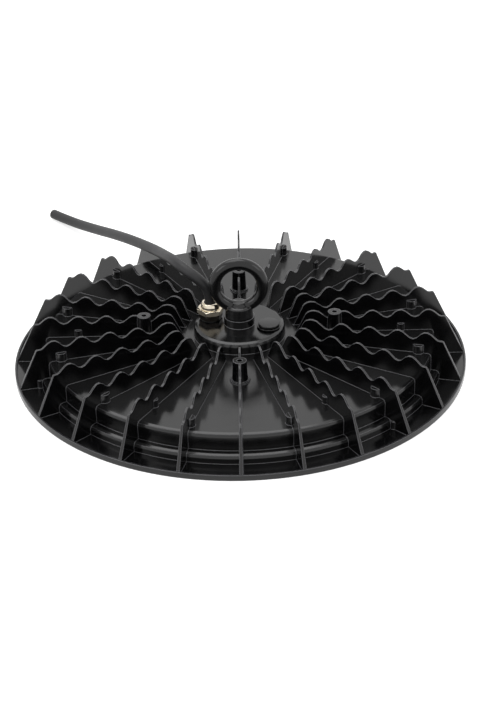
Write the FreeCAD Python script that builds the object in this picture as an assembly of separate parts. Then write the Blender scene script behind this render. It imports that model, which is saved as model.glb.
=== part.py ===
import FreeCAD, Part
import math
import os

# Round high bay light, resting on its rim with the light side down.
# Millimetres. The origin is the centre of the rim's underside, +Z points up to the lifting eye.
# A bearing of 0 degrees is the front, along -Y, and bearings grow towards +X.

# Casting: plate, stepped wall, flange and rim
RIM_D = 300.0
RIM_HEIGHT = 3.8
LIP_WIDTH = 1.3
FLANGE_WIDTH = 15.7
FLANGE_THICKNESS = 1.9
STEP_WIDTH = 5.6
STEP_HEIGHT = 8.0
STEP_WALL = 3.3
PLATE_HEIGHT = 19.7
PLATE_THICKNESS = 3.5
DRUM_WALL = 4.0
DRUM_EDGE_RADIUS = 2.2
STEP_EDGE_RADIUS = 2.5

# Casting: hub
HUB_D = 60.4
HUB_RISE = 7.8
HUB_WALL = 3.6
HUB_ROOF = 3.0
HUB_EDGE_RADIUS = 2.6
EYE_BOSS_D = 20.2
EYE_BOSS_RISE = 5.5

# Casting: fins
FIN_COUNT = 24
FIN_FOOT_THICKNESS = 2.4
FIN_TOP_THICKNESS = 1.2
FIN_PEAK_RISE = 14.9
FIN_SHOULDER_RISE = 9.6
FIN_SHOULDER_WIDTH = 3.4
FIN_LEAN = 12.4
FIN_HUB_GAP = 7.0
WAVE_PITCH = 18.6
WAVE_FALL = 8.2
WAVE_DEPTH = 5.4
CREST_RADIUS = 5.2
TROUGH_RADIUS = 3.5
HUMP_LENGTH = 15.0
HUMP_RADIUS = 4.5
FIN_OUTER_RADIUS = 0.8
SHOULDER_RADIUS = 2.0
WAVE_OVERSHOOT = 0.356
FIN_FOOT_DEPTH = 0.6

# Casting: pins and bosses
LENS_PIN_D = 6.9
LENS_PIN_RISE = 5.8
LENS_PIN_INSET = 8.4
BOARD_PIN_D = 4.9
BOARD_PIN_RISE = 5.1
LOCATING_PIN_D = 4.4
LOCATING_PIN_RISE = 5.4
LOCATING_PIN_BEARINGS = (-75, 45, 165)
LOCATING_PIN_OFFSET = 1.0
ACCESSORY_CIRCLE_D = 126.0
ACCESSORY_BOSS_TOP_D = 8.8
ACCESSORY_BOSS_FOOT_D = 10.0
ACCESSORY_BOSS_RISE = 14.6
ACCESSORY_COLLAR_D = 12.7
ACCESSORY_COLLAR_RISE = 1.0
ACCESSORY_HOLE_D = 3.4
ACCESSORY_HOLE_DEPTH = 14.0
POST_D = 9.0

# Light side: lens, gasket and board
LENS_THICKNESS = 2.8
LENS_RECESS = 2.4
LENS_CLEARANCE = 0.5
GASKET_THICKNESS = 1.0
GASKET_CLEARANCE = 0.3
BOARD_THICKNESS = 1.6
BOARD_CLEARANCE = 3.8
BOARD_SCREW_INSET = 5.0
BOARD_HOLE_CLEARANCE = 0.4
LENS_SCREW_COUNT = 12
BOARD_SCREW_COUNT = 6
LED_SIZE = 3.0
LED_HEIGHT = 0.6
LED_SPACING = 19.0
LED_RING_STEP = 13.0
LED_SCREW_GAP = 8.0
LED_FIRST_RING_GAP = 30.0

# Screws
LENS_THREAD_D = 3.0
LENS_SCREW_LENGTH = 12.0
LENS_HEAD_D = 6.4
LENS_HEAD_HEIGHT = 2.0
BOARD_THREAD_D = 3.0
BOARD_SCREW_LENGTH = 7.0
BOARD_HEAD_D = 5.6
BOARD_HEAD_HEIGHT = 1.8
EARTH_THREAD_D = 4.0
EARTH_SCREW_LENGTH = 5.0
EARTH_HEAD_D = 7.6
EARTH_HEAD_HEIGHT = 2.2
THREAD_CLEARANCE = 0.05
PASSING_CLEARANCE = 0.4
HOLE_SPARE = 1.2

# Lifting eye and what holds it
EYE_RING_D = 31.5
EYE_WIRE_D = 7.9
EYE_WIRE_SIDES = 10
EYE_CENTRE_RISE = 22.1
EYE_COLLAR_D = 18.5
EYE_COLLAR_HEIGHT = 5.6
EYE_COLLAR_EDGE = 1.6
EYE_NECK_D = 9.0
EYE_NECK_HEIGHT = 4.8
EYE_NECK_FLARE = 0.8
EYE_FLARE_RADIUS = 2.0
EYE_THREAD_D = 8.0
EYE_THREAD_SPARE = 1.5
EYE_WASHER_D = 16.0
EYE_WASHER_THICKNESS = 1.6
EYE_NUT_FLATS = 13.0
EYE_NUT_HEIGHT = 6.5

# Cable gland and blanking plug
GLAND_X = -19.0
GLAND_Y = 7.5
PLUG_X = 19.5
PLUG_Y = -6.5
ENTRY_THREAD_D = 12.0
ENTRY_BOSS_D = 16.0
ENTRY_BOSS_DROP = 3.5
O_RING_D = 14.0
O_RING_THICKNESS = 0.8
GLAND_FLATS = 14.0
GLAND_HEX_HEIGHT = 3.7
GLAND_NECK_D = 11.4
GLAND_THREAD_LENGTH = 7.0
GLAND_BORE_D = 8.0
GLAND_NUT_FLATS = 16.0
GLAND_NUT_HEX_HEIGHT = 3.4
GLAND_NUT_HEIGHT = 7.6
GLAND_NUT_TOP_D = 11.6
GLAND_NUT_GAP = 0.3
GLAND_NUT_LAND = 0.4
GLAND_CORNER_CUT = 0.8
GLAND_DOME_FOOT = 0.7
GLAND_DOME_RADIUS = 2.6
GLAND_MOUTH_D = 8.4
GLAND_SEAL_LENGTH = 4.2
GLAND_SEAL_BORE_D = 7.45
GLAND_SEAL_PROUD = 0.5
GLAND_TURN = 12.0
PLUG_HEAD_D = 14.0
PLUG_HEAD_HEIGHT = 1.3
PLUG_HEAD_EDGE = 0.4
PLUG_FLANGE_D = 16.0
PLUG_FLANGE_HEIGHT = 0.5
PLUG_GROOVE_D = 12.6
PLUG_GROOVE_HEIGHT = 0.4
PLUG_THREAD_LENGTH = 6.0
PLUG_HOLLOW_D = 8.0
PLUG_HOLLOW_DEPTH = 4.5

# Supply lead: its line from inside the gland's mouth to the floor behind the rim
LEAD_D = 7.2
LEAD_START_DEPTH = 3.0
LEAD_POINTS = [
    (-27.3, 7.9, 57.3),
    (-36.6, 13.1, 62.0),
    (-42.8, 25.1, 62.0),
    (-47.9, 41.0, 57.0),
    (-55.2, 66.4, 48.5),
    (-68.5, 97.3, 39.5),
    (-86.9, 135.1, 28.0),
    (-106.3, 175.9, 13.5),
    (-127.2, 208.7, 4.6),
    (-142.3, 225.5, 3.6),
]
LEAD_FIRST_RUN = 11.0

# Wiring and what stands on the board
CORE_D = 2.2
CORE_OFFSET = 1.5
CORE_DEPTH = 4.6
TERMINAL_LENGTH = 10.0
TERMINAL_WIDTH = 12.0
TERMINAL_HEIGHT = 6.0
TERMINAL_PITCH = 4.4
TERMINAL_BEARING = -99.2
COMPONENT_RING_GAP = 12.5
DRIVER_CHIP_BEARINGS = (35, 65, 95, 125)
DRIVER_CHIP_SIZE = (6.2, 5.0, 1.7)
RECTIFIER_BEARING = 0
RECTIFIER_SIZE = (8.4, 6.5, 2.6)
FUSE_BEARING = -40
FUSE_D = 3.6
FUSE_LENGTH = 10.0
FUSE_CAP_LENGTH = 1.8
FUSE_CAP_STEP = 0.6
VARISTOR_BEARING = 165
VARISTOR_D = 10.0
VARISTOR_HEIGHT = 4.2
VARISTOR_EDGE = 1.2
EARTH_BOSS_D = 7.2
EARTH_BOSS_DROP = 3.0
EARTH_BOSS_Y = 19.0
EARTH_RING_D = 8.0
EARTH_RING_THICKNESS = 0.8
EARTH_BARREL_D = 3.4
EARTH_BARREL_LENGTH = 5.0
EARTH_TONGUE_WIDTH = 3.0
EARTH_TONGUE_LAP = 0.5

# Radii that follow
RIM_R = RIM_D / 2
STEP_R = RIM_R - FLANGE_WIDTH
DRUM_R = STEP_R - STEP_WIDTH
RECESS_R = STEP_R - STEP_WALL
CAVITY_R = DRUM_R - DRUM_WALL
HUB_R = HUB_D / 2
HUB_CAVITY_R = HUB_R - HUB_WALL
LENS_SCREW_R = DRUM_R - LENS_PIN_INSET
BOARD_R = LENS_SCREW_R - POST_D / 2 - BOARD_CLEARANCE
BOARD_SCREW_R = BOARD_R - BOARD_SCREW_INSET
BOARD_HOLE_R = HUB_CAVITY_R + BOARD_HOLE_CLEARANCE
LENS_R = RECESS_R - LENS_CLEARANCE
COMPONENT_R = BOARD_HOLE_R + COMPONENT_RING_GAP

# Heights that follow
HUB_Z = PLATE_HEIGHT + HUB_RISE
HUB_ROOF_Z = HUB_Z - HUB_ROOF
EYE_SEAT_Z = HUB_Z + EYE_BOSS_RISE
FIN_PEAK_Z = PLATE_HEIGHT + FIN_PEAK_RISE
FIN_SHOULDER_Z = PLATE_HEIGHT + FIN_SHOULDER_RISE
CAVITY_Z = PLATE_HEIGHT - PLATE_THICKNESS
LENS_TOP_Z = LENS_RECESS + LENS_THICKNESS
GASKET_TOP_Z = LENS_TOP_Z + GASKET_THICKNESS
BOARD_Z = CAVITY_Z - BOARD_THICKNESS
ENTRY_BOSS_Z = HUB_ROOF_Z - ENTRY_BOSS_DROP
SEAL_SEAT_Z = HUB_Z + O_RING_THICKNESS
GLAND_NUT_Z = SEAL_SEAT_Z + GLAND_HEX_HEIGHT + GLAND_NUT_GAP
GLAND_TOP_Z = GLAND_NUT_Z + GLAND_NUT_HEIGHT
LEAD_START_Z = GLAND_TOP_Z - LEAD_START_DEPTH
CORE_Z = BOARD_Z - CORE_DEPTH + CORE_D / 2
EARTH_SEAT_Z = HUB_ROOF_Z - EARTH_BOSS_DROP

FIN_STEP = 360 / FIN_COUNT
UP = FreeCAD.Vector(0, 0, 1)
ORIGIN = FreeCAD.Vector(0, 0, 0)
OVERLAP = 1.0
EDGE_CHORD = 46.0
WIDE_CHORD = 30.0
WIDE_RADIUS = 5.0
TURNED_SIDES = 28
RING_SIDES = 36
PIN_SIDES = 18
HIDDEN_SIDES = 12
THREAD_SIDES = 8
CORE_SIDES = 6
LEAD_SIDES = 14


def vector(x, y, z):
    return FreeCAD.Vector(x, y, z)


def at_bearing(radius, bearing):
    """X and Y of a point at this radius and bearing."""
    angle = math.radians(bearing)
    return radius * math.sin(angle), -radius * math.cos(angle)


def to_bearing(shape, bearing):
    """Turns a shape modelled along +X to this bearing."""
    return shape.rotated(ORIGIN, UP, bearing - 90)


def cylinder(radius, low, high, x=0.0, y=0.0):
    return Part.makeCylinder(radius, high - low, vector(x, y, low), UP)


def tube_ring(inner, outer, low, high, x=0.0, y=0.0):
    return cylinder(outer, low, high, x, y).cut(cylinder(inner, low - OVERLAP, high + OVERLAP, x, y))


def block(length, width, low, high, x=0.0, y=0.0):
    """A box centred on x and y."""
    return Part.makeBox(length, width, high - low, vector(x - length / 2, y - width / 2, low))


def prism(sides, corner, low, high, x=0.0, y=0.0, turn=0.0):
    """An upright prism whose corners lie on a circle of this radius."""
    points = []
    for side in range(sides + 1):
        angle = math.radians(360 / sides * side + turn)
        points.append(vector(x + corner * math.cos(angle), y + corner * math.sin(angle), low))
    return Part.Face(Part.makePolygon(points)).extrude(UP * (high - low))


def hexagon(flats, low, high, x=0.0, y=0.0, turn=0.0):
    return prism(6, flats / math.sqrt(3), low, high, x, y, turn)


def pin(diameter, low, high, x, y):
    return prism(PIN_SIDES, diameter / 2, low, high, x, y)


def hidden_round(diameter, low, high, x, y):
    return prism(HIDDEN_SIDES, diameter / 2, low, high, x, y)


def thread_round(diameter, low, high, x, y):
    return prism(THREAD_SIDES, diameter / 2, low, high, x, y)


def eased_outline(corners):
    """Points in the XZ plane round (x, z, corner radius) corners, each eased by chords along its radius."""
    points = [vector(x, 0, z) for x, z, _ in corners]
    outline = []
    for index, (_, _, radius) in enumerate(corners):
        here = points[index]
        back = (points[index - 1] - here).normalize()
        ahead = (points[(index + 1) % len(points)] - here).normalize()
        if radius <= 0:
            outline.append(here)
            continue
        half = back.getAngle(ahead) / 2
        bisector = (back + ahead).normalize()
        side = (ahead - back).normalize()
        centre = here + bisector * (radius / math.sin(half))
        turn = math.pi - 2 * half
        chord = WIDE_CHORD if radius >= WIDE_RADIUS else EDGE_CHORD
        count = math.ceil(math.degrees(turn) / chord)
        for step in range(count + 1):
            angle = turn * (step / count - 0.5)
            outline.append(centre - bisector * (radius * math.cos(angle)) + side * (radius * math.sin(angle)))
    return outline


def closed_face(outline):
    return Part.Face(Part.makePolygon(outline + outline[:1]))


def shell_solid(rings):
    """A solid whose skin joins each ring of points to the next, and the last to the first."""
    faces = []
    count = len(rings)
    sides = len(rings[0])
    for index in range(count):
        ahead = rings[(index + 1) % count]
        here = rings[index]
        for side in range(sides):
            beside = (side + 1) % sides
            corners = [here[side], here[beside], ahead[beside], ahead[side]]
            distinct = [point for place, point in enumerate(corners)
                        if point.distanceToPoint(corners[place - 1]) > 1e-6]
            if len(distinct) > 2:
                faces.append(closed_face(distinct))
    solid = Part.Solid(Part.makeShell(faces))
    if solid.Volume < 0:
        solid.reverse()
    return solid


def turned(corners):
    """A true solid of revolution about the Z axis."""
    return closed_face(eased_outline(corners)).revolve(ORIGIN, UP, 360)


def faceted(corners, sides, x=0.0, y=0.0):
    """A small turned piece with flat sides, for parts too small to need true curves."""
    rings = []
    for side in range(sides):
        angle = 2 * math.pi * side / sides
        rings.append([
            vector(x + point.x * math.cos(angle), y + point.x * math.sin(angle), point.z)
            for point in eased_outline(corners)
        ])
    return shell_solid(rings)


def pipe(inner_d, outer_d, low, high, x=0.0, y=0.0, sides=HIDDEN_SIDES):
    outside = prism(sides, outer_d / 2, low, high, x, y)
    return outside.cut(prism(sides, inner_d / 2, low - OVERLAP, high + OVERLAP, x, y))


def lead_line(points):
    """Straight runs joined by tangent arcs, each arc as large as its two runs allow."""
    points = [vector(*point) for point in points]
    edges = []
    radii = []
    start = points[0]
    for index in range(1, len(points) - 1):
        here = points[index]
        into = here - points[index - 1]
        out = points[index + 1] - here
        reach = 0.45 * min(into.Length, out.Length)
        half_turn = into.getAngle(out) / 2
        radius = reach / math.tan(half_turn)
        radii.append(radius)
        first = here - into.normalize() * reach
        last = here + out.normalize() * reach
        inward = ((first + last) * 0.5 - here).normalize()
        middle = here + inward * (radius / math.cos(half_turn) - radius)
        edges.append(Part.LineSegment(start, first).toShape())
        edges.append(Part.Arc(first, middle, last).toShape())
        start = last
    edges.append(Part.LineSegment(start, points[-1]).toShape())
    return Part.Wire(edges), radii


def swept_section(path, start, direction, diameter, sides):
    """A polygon of the round section's own area, carried along the path."""
    radius = diameter / 2 * math.sqrt(2 * math.pi / (sides * math.sin(2 * math.pi / sides)))
    across = direction.cross(vector(0, 1, 0)).normalize()
    upright = direction.cross(across).normalize()
    points = []
    for side in range(sides):
        angle = 2 * math.pi * (side + 0.5) / sides
        points.append(start + across * (radius * math.cos(angle)) + upright * (radius * math.sin(angle)))
    section = Part.makePolygon(points + points[:1])
    return path.makePipeShell([section], True, False, 1)


def core(points):
    """An insulated core along straight runs."""
    points = [vector(*point) for point in points]
    path = Part.makePolygon(points)
    return swept_section(path, points[0], (points[1] - points[0]).normalize(), CORE_D, CORE_SIDES)


def cheese_screw(head_d, head_height, thread_d, length, seat, x, y):
    """A screw driven upwards, with its head below the seat."""
    head = hidden_round(head_d, seat - head_height, seat, x, y)
    thread = thread_round(thread_d - 2 * THREAD_CLEARANCE, seat - OVERLAP, seat + length, x, y)
    return head.fuse(thread).removeSplitter()


def housing_section():
    """The casting's section without hub roof, fins, pins and bosses."""
    return [
        (0, HUB_Z, 0),
        (HUB_R, HUB_Z, HUB_EDGE_RADIUS),
        (HUB_R, PLATE_HEIGHT, 0),
        (DRUM_R, PLATE_HEIGHT, DRUM_EDGE_RADIUS),
        (DRUM_R, STEP_HEIGHT, 0),
        (STEP_R, STEP_HEIGHT, STEP_EDGE_RADIUS),
        (STEP_R, FLANGE_THICKNESS, 0),
        (RIM_R - LIP_WIDTH, FLANGE_THICKNESS, 0),
        (RIM_R - LIP_WIDTH, RIM_HEIGHT, 0),
        (RIM_R, RIM_HEIGHT, 0),
        (RIM_R, 0, 0),
        (RECESS_R, 0, 0),
        (RECESS_R, GASKET_TOP_Z, 0),
        (CAVITY_R, GASKET_TOP_Z, 0),
        (CAVITY_R, CAVITY_Z, 0),
        (HUB_CAVITY_R, CAVITY_Z, 0),
        (HUB_CAVITY_R, HUB_ROOF_Z, 0),
        (0, HUB_ROOF_Z, 0),
    ]


def fin_outline():
    """One fin in its own radial plane: slanted outer edge, shoulder, waves and a long inner hump."""
    foot_z = FLANGE_THICKNESS + FIN_FOOT_DEPTH
    lean_rate = FIN_LEAN / (FIN_SHOULDER_Z - RIM_HEIGHT)
    foot_r = RIM_R - LIP_WIDTH + (RIM_HEIGHT - foot_z) * lean_rate / 2
    shoulder_r = RIM_R - LIP_WIDTH - FIN_LEAN
    crest_z = FIN_PEAK_Z + WAVE_OVERSHOOT * CREST_RADIUS
    trough_z = FIN_PEAK_Z - WAVE_DEPTH - WAVE_OVERSHOOT * TROUGH_RADIUS
    points = [
        (foot_r, foot_z, 0),
        (shoulder_r, FIN_SHOULDER_Z, FIN_OUTER_RADIUS),
        (shoulder_r - FIN_SHOULDER_WIDTH, FIN_SHOULDER_Z, SHOULDER_RADIUS),
    ]
    inner_r = HUB_R + FIN_HUB_GAP
    hump_r = inner_r + HUMP_LENGTH
    crest_r = shoulder_r - FIN_SHOULDER_WIDTH - WAVE_FALL
    while crest_r - WAVE_FALL > hump_r:
        points.append((crest_r, crest_z, CREST_RADIUS))
        points.append((crest_r - WAVE_FALL, trough_z, TROUGH_RADIUS))
        crest_r -= WAVE_PITCH
    points.append((hump_r - 1.0, FIN_PEAK_Z + 1.0, HUMP_RADIUS))
    points.append((inner_r + HUMP_LENGTH / 2, FIN_PEAK_Z + 0.2, HUMP_RADIUS))
    points.append((inner_r, PLATE_HEIGHT, 0))
    points.append((inner_r, PLATE_HEIGHT - OVERLAP, 0))
    points.append((DRUM_R - OVERLAP, PLATE_HEIGHT - OVERLAP, 0))
    points.append((DRUM_R - OVERLAP, STEP_HEIGHT - OVERLAP, 0))
    points.append((STEP_R - OVERLAP, STEP_HEIGHT - OVERLAP, 0))
    points.append((STEP_R - OVERLAP, FLANGE_THICKNESS - FIN_FOOT_DEPTH, 0))
    points.append((foot_r, FLANGE_THICKNESS - FIN_FOOT_DEPTH, 0))
    return points


def fin():
    """One fin along +X, thinner at its top than at its foot."""
    sheet = closed_face(eased_outline(fin_outline())).translated(vector(0, -FIN_FOOT_THICKNESS / 2, 0))
    blank = sheet.extrude(vector(0, FIN_FOOT_THICKNESS, 0))
    foot = FIN_FOOT_THICKNESS / 2
    top = FIN_TOP_THICKNESS / 2
    wedge_face = Part.Face(Part.makePolygon([
        vector(0, -foot, 0),
        vector(0, foot, 0),
        vector(0, top, FIN_PEAK_Z + OVERLAP),
        vector(0, -top, FIN_PEAK_Z + OVERLAP),
        vector(0, -foot, 0),
    ]))
    return blank.common(wedge_face.extrude(vector(RIM_R, 0, 0)))


def screw_bearings(count, first):
    return [first + 360 / count * index for index in range(count)]


LENS_SCREW_BEARINGS = screw_bearings(LENS_SCREW_COUNT, FIN_STEP)
BOARD_SCREW_BEARINGS = screw_bearings(BOARD_SCREW_COUNT, 2 * FIN_STEP)
ACCESSORY_BEARINGS = screw_bearings(4, 0)


def accessory_boss(x, y):
    low = PLATE_HEIGHT - OVERLAP
    high = PLATE_HEIGHT + ACCESSORY_BOSS_RISE
    collar_top = PLATE_HEIGHT + ACCESSORY_COLLAR_RISE
    return faceted([
        (0, low, 0),
        (ACCESSORY_COLLAR_D / 2, low, 0),
        (ACCESSORY_COLLAR_D / 2, collar_top, 0),
        (ACCESSORY_BOSS_FOOT_D / 2, collar_top, 0),
        (ACCESSORY_BOSS_TOP_D / 2, high, 0),
        (0, high, 0),
    ], PIN_SIDES, x, y)


def heatsink_housing():
    added = [to_bearing(fin(), FIN_STEP * index) for index in range(FIN_COUNT)]
    removed = []
    added.append(cylinder(EYE_BOSS_D / 2, HUB_ROOF_Z, EYE_SEAT_Z))
    removed.append(cylinder(EYE_THREAD_D / 2 + PASSING_CLEARANCE / 2, HUB_ROOF_Z - OVERLAP, EYE_SEAT_Z + OVERLAP))
    for x, y in ((GLAND_X, GLAND_Y), (PLUG_X, PLUG_Y)):
        added.append(pin(ENTRY_BOSS_D, ENTRY_BOSS_Z, HUB_Z - OVERLAP, x, y))
        removed.append(cylinder(ENTRY_THREAD_D / 2, ENTRY_BOSS_Z - OVERLAP, HUB_Z + OVERLAP, x, y))
    added.append(hidden_round(EARTH_BOSS_D, EARTH_SEAT_Z, HUB_Z - OVERLAP, 0, EARTH_BOSS_Y))
    hole_top = EARTH_SEAT_Z + EARTH_SCREW_LENGTH
    removed.append(thread_round(EARTH_THREAD_D, EARTH_SEAT_Z - OVERLAP, hole_top, 0, EARTH_BOSS_Y))
    inside = CAVITY_Z + OVERLAP
    hole_top = LENS_RECESS + LENS_SCREW_LENGTH + HOLE_SPARE
    for bearing in LENS_SCREW_BEARINGS:
        x, y = at_bearing(LENS_SCREW_R, bearing)
        added.append(pin(LENS_PIN_D, inside, PLATE_HEIGHT + LENS_PIN_RISE, x, y))
        added.append(hidden_round(POST_D, GASKET_TOP_Z, inside, x, y))
        removed.append(thread_round(LENS_THREAD_D, GASKET_TOP_Z - OVERLAP, hole_top, x, y))
    hole_top = BOARD_Z + BOARD_SCREW_LENGTH + HOLE_SPARE
    for bearing in BOARD_SCREW_BEARINGS:
        x, y = at_bearing(BOARD_SCREW_R, bearing)
        added.append(pin(BOARD_PIN_D, inside, PLATE_HEIGHT + BOARD_PIN_RISE, x, y))
        removed.append(thread_round(BOARD_THREAD_D, CAVITY_Z - OVERLAP, hole_top, x, y))
    locating_top = FLANGE_THICKNESS + LOCATING_PIN_RISE
    for bearing in LOCATING_PIN_BEARINGS:
        x, y = at_bearing(STEP_R + LOCATING_PIN_OFFSET, bearing)
        added.append(pin(LOCATING_PIN_D, FLANGE_THICKNESS / 2, locating_top, x, y))
    for bearing in ACCESSORY_BEARINGS:
        x, y = at_bearing(ACCESSORY_CIRCLE_D / 2, bearing)
        added.append(accessory_boss(x, y))
        top = PLATE_HEIGHT + ACCESSORY_BOSS_RISE
        removed.append(cylinder(ACCESSORY_HOLE_D / 2, top - ACCESSORY_HOLE_DEPTH, top + OVERLAP, x, y))
        removed.append(pin(ACCESSORY_BOSS_TOP_D, top, FIN_PEAK_Z + OVERLAP, x, y))
    solid = turned(housing_section()).multiFuse(added)
    return solid.cut(Part.makeCompound(removed)).removeSplitter()


def lifting_eye():
    centre_z = EYE_SEAT_Z + EYE_CENTRE_RISE
    wire_rings = []
    for step in range(RING_SIDES):
        turn = 2 * math.pi * (step + 0.5) / RING_SIDES
        ring = []
        for side in range(EYE_WIRE_SIDES):
            angle = 2 * math.pi * side / EYE_WIRE_SIDES
            reach = EYE_RING_D / 2 + EYE_WIRE_D / 2 * math.cos(angle)
            depth = EYE_WIRE_D / 2 * math.sin(angle)
            ring.append(vector(reach * math.cos(turn), depth, centre_z + reach * math.sin(turn)))
        wire_rings.append(ring)
    collar_top = EYE_SEAT_Z + EYE_COLLAR_HEIGHT
    neck_top = collar_top + EYE_NECK_HEIGHT
    collar = faceted([
        (0, EYE_SEAT_Z, 0),
        (EYE_COLLAR_D / 2, EYE_SEAT_Z, 0),
        (EYE_COLLAR_D / 2, collar_top, EYE_COLLAR_EDGE),
        (EYE_NECK_D / 2 + EYE_NECK_FLARE, collar_top, EYE_FLARE_RADIUS),
        (EYE_NECK_D / 2, neck_top, 0),
        (0, neck_top, 0),
    ], TURNED_SIDES)
    clear_hole = prism(RING_SIDES, EYE_RING_D / 2 - EYE_WIRE_D / 2, 0, EYE_COLLAR_D)
    clear_hole.rotate(ORIGIN, vector(1, 0, 0), 90)
    clear_hole.translate(vector(0, EYE_COLLAR_D / 2, centre_z))
    thread_low = HUB_ROOF_Z - EYE_WASHER_THICKNESS - EYE_NUT_HEIGHT - EYE_THREAD_SPARE
    shank = pin(EYE_THREAD_D, thread_low, EYE_SEAT_Z + OVERLAP, 0, 0)
    return collar.cut(clear_hole).fuse(shell_solid(wire_rings)).fuse(shank).removeSplitter()


def eye_washer():
    low = HUB_ROOF_Z - EYE_WASHER_THICKNESS
    return pipe(EYE_THREAD_D + PASSING_CLEARANCE, EYE_WASHER_D, low, HUB_ROOF_Z, sides=PIN_SIDES)


def eye_nut():
    high = HUB_ROOF_Z - EYE_WASHER_THICKNESS
    low = high - EYE_NUT_HEIGHT
    return hexagon(EYE_NUT_FLATS, low, high).cut(pin(EYE_THREAD_D + 2 * THREAD_CLEARANCE, low - OVERLAP, high + OVERLAP, 0, 0))


def entry_o_ring(x, y):
    return pipe(ENTRY_THREAD_D + 2 * THREAD_CLEARANCE, O_RING_D, HUB_Z, SEAL_SEAT_Z, x, y, PIN_SIDES)


def gland_body():
    hex_top = SEAL_SEAT_Z + GLAND_HEX_HEIGHT
    neck_top = GLAND_TOP_Z - GLAND_SEAL_LENGTH - GLAND_SEAL_PROUD
    low = HUB_Z - GLAND_THREAD_LENGTH
    thread_d = ENTRY_THREAD_D - 2 * THREAD_CLEARANCE
    solid = hexagon(GLAND_FLATS, SEAL_SEAT_Z, hex_top, GLAND_X, GLAND_Y, GLAND_TURN)
    solid = solid.fuse(pin(thread_d, low, SEAL_SEAT_Z + OVERLAP, GLAND_X, GLAND_Y))
    solid = solid.fuse(pin(GLAND_NECK_D, hex_top - OVERLAP, neck_top, GLAND_X, GLAND_Y))
    return solid.cut(pin(GLAND_BORE_D, low - OVERLAP, neck_top + OVERLAP, GLAND_X, GLAND_Y)).removeSplitter()


def gland_dome_nut():
    """A hexagon whose corners are rounded off, with a dome above it."""
    corner = GLAND_NUT_FLATS / math.sqrt(3)
    hex_top = GLAND_NUT_Z + GLAND_NUT_HEX_HEIGHT
    dome_r = GLAND_NUT_TOP_D / 2
    prism_blank = hexagon(GLAND_NUT_FLATS, GLAND_NUT_Z, GLAND_TOP_Z, GLAND_X, GLAND_Y, GLAND_TURN)
    outside = faceted([
        (0, GLAND_NUT_Z, 0),
        (corner - GLAND_CORNER_CUT, GLAND_NUT_Z, 0),
        (corner, GLAND_NUT_Z + GLAND_CORNER_CUT / 2, 0),
        (corner, hex_top - GLAND_CORNER_CUT, 0),
        (dome_r + GLAND_DOME_FOOT, hex_top, 0),
        (dome_r, GLAND_TOP_Z, GLAND_DOME_RADIUS),
        (0, GLAND_TOP_Z, 0),
    ], TURNED_SIDES, GLAND_X, GLAND_Y)
    hollow = pin(
        GLAND_NECK_D + 2 * THREAD_CLEARANCE, GLAND_NUT_Z - OVERLAP,
        hex_top - GLAND_NUT_LAND, GLAND_X, GLAND_Y,
    )
    mouth = pin(GLAND_MOUTH_D, GLAND_NUT_Z, GLAND_TOP_Z + OVERLAP, GLAND_X, GLAND_Y)
    return prism_blank.common(outside).cut(hollow).cut(mouth).removeSplitter()


def gland_seal():
    high = GLAND_TOP_Z - GLAND_SEAL_PROUD
    return pipe(GLAND_SEAL_BORE_D, GLAND_MOUTH_D, high - GLAND_SEAL_LENGTH, high, GLAND_X, GLAND_Y, PIN_SIDES)


def blanking_plug():
    flange_top = SEAL_SEAT_Z + PLUG_FLANGE_HEIGHT
    head_low = flange_top + PLUG_GROOVE_HEIGHT
    head_top = head_low + PLUG_HEAD_HEIGHT
    low = HUB_Z - PLUG_THREAD_LENGTH
    thread_r = ENTRY_THREAD_D / 2 - THREAD_CLEARANCE
    hollow_top = low + PLUG_HOLLOW_DEPTH
    return faceted([
        (PLUG_HOLLOW_D / 2, low, 0),
        (thread_r, low, 0),
        (thread_r, SEAL_SEAT_Z, 0),
        (PLUG_FLANGE_D / 2, SEAL_SEAT_Z, 0),
        (PLUG_FLANGE_D / 2, flange_top, 0),
        (PLUG_GROOVE_D / 2, flange_top, 0),
        (PLUG_GROOVE_D / 2, head_low, 0),
        (PLUG_HEAD_D / 2, head_low, 0),
        (PLUG_HEAD_D / 2, head_top, PLUG_HEAD_EDGE),
        (0, head_top, 0),
        (0, hollow_top, 0),
        (PLUG_HOLLOW_D / 2, hollow_top, 0),
    ], TURNED_SIDES, PLUG_X, PLUG_Y)


def screw_holes(count_radius, bearings, diameter, low, high):
    """Cutters for the screws that pass through a plate."""
    holes = []
    for bearing in bearings:
        x, y = at_bearing(count_radius, bearing)
        holes.append(thread_round(diameter, low - OVERLAP, high + OVERLAP, x, y))
    return Part.makeCompound(holes)


def lens_plate():
    hole_d = LENS_THREAD_D + 2 * PASSING_CLEARANCE
    holes = screw_holes(LENS_SCREW_R, LENS_SCREW_BEARINGS, hole_d, LENS_RECESS, LENS_TOP_Z)
    return cylinder(LENS_R, LENS_RECESS, LENS_TOP_Z).cut(holes)


def lens_gasket():
    """A flat ring wide enough to seal round each screw."""
    hole_d = LENS_THREAD_D + 2 * PASSING_CLEARANCE
    holes = screw_holes(LENS_SCREW_R, LENS_SCREW_BEARINGS, hole_d, LENS_TOP_Z, GASKET_TOP_Z)
    inner = LENS_SCREW_R - POST_D / 2
    return tube_ring(inner, RECESS_R - GASKET_CLEARANCE, LENS_TOP_Z, GASKET_TOP_Z).cut(holes)


def lens_screws():
    screws = []
    for bearing in LENS_SCREW_BEARINGS:
        x, y = at_bearing(LENS_SCREW_R, bearing)
        screws.append(cheese_screw(
            LENS_HEAD_D, LENS_HEAD_HEIGHT, LENS_THREAD_D, LENS_SCREW_LENGTH, LENS_RECESS, x, y,
        ))
    return Part.makeCompound(screws)


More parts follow.
